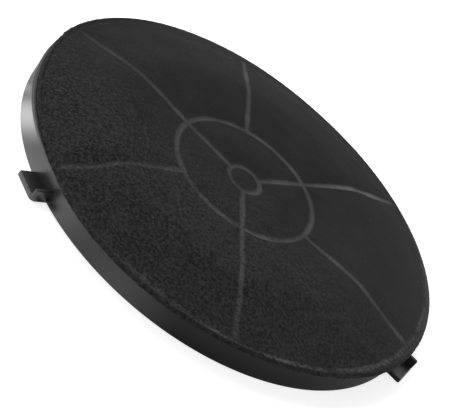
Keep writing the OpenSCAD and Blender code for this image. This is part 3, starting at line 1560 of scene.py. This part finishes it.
@dataclass(frozen=True)
class Softbox:
    """A rectangular lamp that looks at a point."""

    name: str
    azimuth: float
    elevation: float
    distance: float
    size: tuple[float, float]
    power: float

    def build(self, aim: Vector) -> None:
        """Adds the lamp.

        Args:
            aim: The point that it looks at.
        """
        lamp = bpy.data.lights.new(self.name, "AREA")
        lamp.shape = "RECTANGLE"
        lamp.size, lamp.size_y = self.size
        lamp.energy = self.power
        holder = bpy.data.objects.new(self.name, lamp)
        bpy.context.scene.collection.objects.link(holder)
        back = direction(self.azimuth, self.elevation)
        holder.location = aim + back * self.distance
        holder.rotation_euler = (-back).to_track_quat("-Z", "Y").to_euler()
        holder.visible_camera = False


@dataclass(frozen=True)
class Pool:
    """A soft pool of light or shade on the floor, which shows only in the gloss of the moulding."""

    azimuth: float
    radius: float
    depth: float
    length: float
    strength: float

    def share(self, tree: Tree, x: Wire, y: Wire) -> Wire:
        """Gives how much of a place on the floor lies in the pool.

        Args:
            tree: The floor's tree, which is not used.
            x: The X coordinate.
            y: The Y coordinate.

        Returns:
            The share, from 0 to 1, with soft edges.
        """
        middle = direction(self.azimuth, 0.0)
        out = (x * middle.x + y * middle.y - self.radius) / self.depth
        side = (y * middle.x - x * middle.y) / self.length
        return length_of(out, side).ramp(1.0, 0.0)


def direction(azimuth: float, elevation: float) -> Vector:
    """Gives a direction from its angles.

    Args:
        azimuth: The angle from the X axis, in degrees.
        elevation: The angle above the floor, in degrees.

    Returns:
        The unit vector.
    """
    a, e = math.radians(azimuth), math.radians(elevation)
    return Vector((math.cos(a) * math.cos(e), math.sin(a) * math.cos(e), math.sin(e)))


@dataclass
class Studio:
    """Camera, lamps, surroundings and floor."""

    lens: float = 136.0
    aim: tuple[float, float, float] = (3.4 * MM, -20.8 * MM, 14.1 * MM)
    azimuth: float = -81.92
    elevation: float = 31.58
    roll: float = 39.93
    distance: float = 821.3 * MM
    floor_size: float = 6.0
    floor_colour: float = 0.80
    floor_glow: float = 0.68
    sky: float = 0.32
    lamps: tuple[Softbox, ...] = (
        Softbox("key", 150, 50, 1.1, (0.8, 0.8), 6.3),
        Softbox("low_side", 195, 9, 0.9, (0.5, 0.25), 4.0),
        Softbox("fill", 300, 35, 1.2, (0.8, 0.8), 1.6),
    )
    pools: tuple[Pool, ...] = (
        Pool(188.5, 122 * MM, 40 * MM, 15 * MM, 7.0),
        Pool(205.6, 122 * MM, 30 * MM, 8 * MM, 1.3),
        Pool(242.0, 124 * MM, 45 * MM, 62 * MM, 2.5),
        Pool(270.0, 122 * MM, 45 * MM, 44 * MM, 1.6),
        Pool(217.5, 130 * MM, 30 * MM, 26 * MM, 5.4),
        Pool(246.4, 117.5 * MM, 6 * MM, 6.5 * MM, 0.02),
    )

    def build(self) -> None:
        """Makes the whole studio."""
        aim = Vector(self.aim)
        self._camera(aim)
        self._sky()
        self._floor()
        for lamp in self.lamps:
            lamp.build(aim)
        bpy.context.scene.view_settings.view_transform = "Standard"

    def _camera(self, aim: Vector) -> None:
        """Adds the camera at the photograph's angle.

        Args:
            aim: The point in the middle of the view.
        """
        data = bpy.data.cameras.new("camera")
        data.lens = self.lens
        data.clip_start, data.clip_end = 0.01, 50.0
        back = direction(self.azimuth, self.elevation)
        level = Vector((0, 0, 1)).cross(back).normalized()
        upright = back.cross(level)
        turn = math.radians(self.roll)
        right = level * math.cos(turn) + upright * math.sin(turn)
        up = back.cross(right)
        holder = bpy.data.objects.new("camera", data)
        bpy.context.scene.collection.objects.link(holder)
        rows = Matrix((right, up, back)).transposed().to_4x4()
        holder.matrix_world = Matrix.Translation(aim + back * self.distance) @ rows
        bpy.context.scene.camera = holder

    @staticmethod
    def _seen(tree: Tree, *kinds: str) -> Wire:
        """Gives 1 for some kinds of ray, and else 0.

        Args:
            tree: The tree of the floor or the sky.
            kinds: The kinds of ray, such as Camera.

        Returns:
            The share as a wire.
        """
        path = tree.node("ShaderNodeLightPath")
        rays = [Wire(tree, path.outputs[f"Is {kind} Ray"]) for kind in kinds]
        total = rays[0]
        for ray in rays[1:]:
            total = total.most(ray)
        return total

    def _sky(self) -> None:
        """Makes the surroundings: white where they show, and softer as a light."""
        world = bpy.data.worlds.new("studio")
        world.use_nodes = True
        bpy.context.scene.world = world
        tree = Tree(world.node_tree)
        shown = tree.out("ShaderNodeBackground", sockets={"Color": grey(1.0), "Strength": 1.0})
        light = tree.out("ShaderNodeBackground", sockets={"Color": grey(1.0), "Strength": self.sky})
        seen = self._seen(tree, "Camera", "Glossy", "Transmission")
        mixed = tree.out("ShaderNodeMixShader", sockets={0: seen, 1: light, 2: shown})
        tree.node("ShaderNodeOutputWorld", sockets={"Surface": mixed})

    def _floor(self) -> None:
        """Makes the pale floor, which glows to white where it shows and keeps the shadow."""
        half = self.floor_size / 2
        corners = [(-half, -half, 0.0), (half, -half, 0.0), (half, half, 0.0), (-half, half, 0.0)]
        mesh = bpy.data.meshes.new("floor")
        mesh.from_pydata(corners, [], [(0, 1, 2, 3)])
        material = bpy.data.materials.new("pale_floor")
        material.use_nodes = True
        tree = Tree(material.node_tree)
        matt = tree.out("ShaderNodeBsdfDiffuse", sockets={"Color": grey(self.floor_colour)})
        glow = tree.out("ShaderNodeEmission", sockets={"Color": grey(1.0), "Strength": self.floor_glow})
        both = tree.out("ShaderNodeAddShader", sockets={0: matt, 1: glow})
        shown = tree.out("ShaderNodeMixShader", sockets={0: self._seen(tree, "Camera"), 1: matt, 2: both})
        gloss = self._seen(tree, "Glossy", "Transmission")
        place = tree.out("ShaderNodeTexCoord", output="Object")
        x, y, _ = (Wire(tree, axis) for axis in tree.node("ShaderNodeSeparateXYZ", sockets={0: place}).outputs)
        for pool in self.pools:
            bright = tree.out("ShaderNodeEmission", sockets={"Color": grey(1.0), "Strength": pool.strength})
            sockets = {0: pool.share(tree, x, y) * gloss, 1: shown, 2: bright}
            shown = tree.out("ShaderNodeMixShader", sockets=sockets)
        tree.node("ShaderNodeOutputMaterial", sockets={"Surface": shown})
        mesh.materials.append(material)
        object_of(mesh, "floor")


# The whole filter


def dress_carbon() -> None:
    """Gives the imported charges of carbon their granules."""
    material = GranuleFinish().material()
    for name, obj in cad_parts.items():
        if name.startswith("carbon"):
            obj.data.materials.clear()
            obj.data.materials.append(material)
            log.info("%s: granules", name)


def main() -> None:
    """Builds the filter and its studio."""
    logging.basicConfig(level=logging.INFO, format="%(message)s")
    sizes = Sizes.of_frame()
    plan = CellPlan(sizes)
    welds = CellPlan(sizes, WELD_BOWS)
    Studio().build()
    Moulding(sizes).build()
    felt = FaceFelt(sizes, welds).build()
    LooseFibres(felt).build()
    BackFleece.of_frame(sizes, plan).build()
    dress_carbon()


if __name__ == "__main__":
    main()
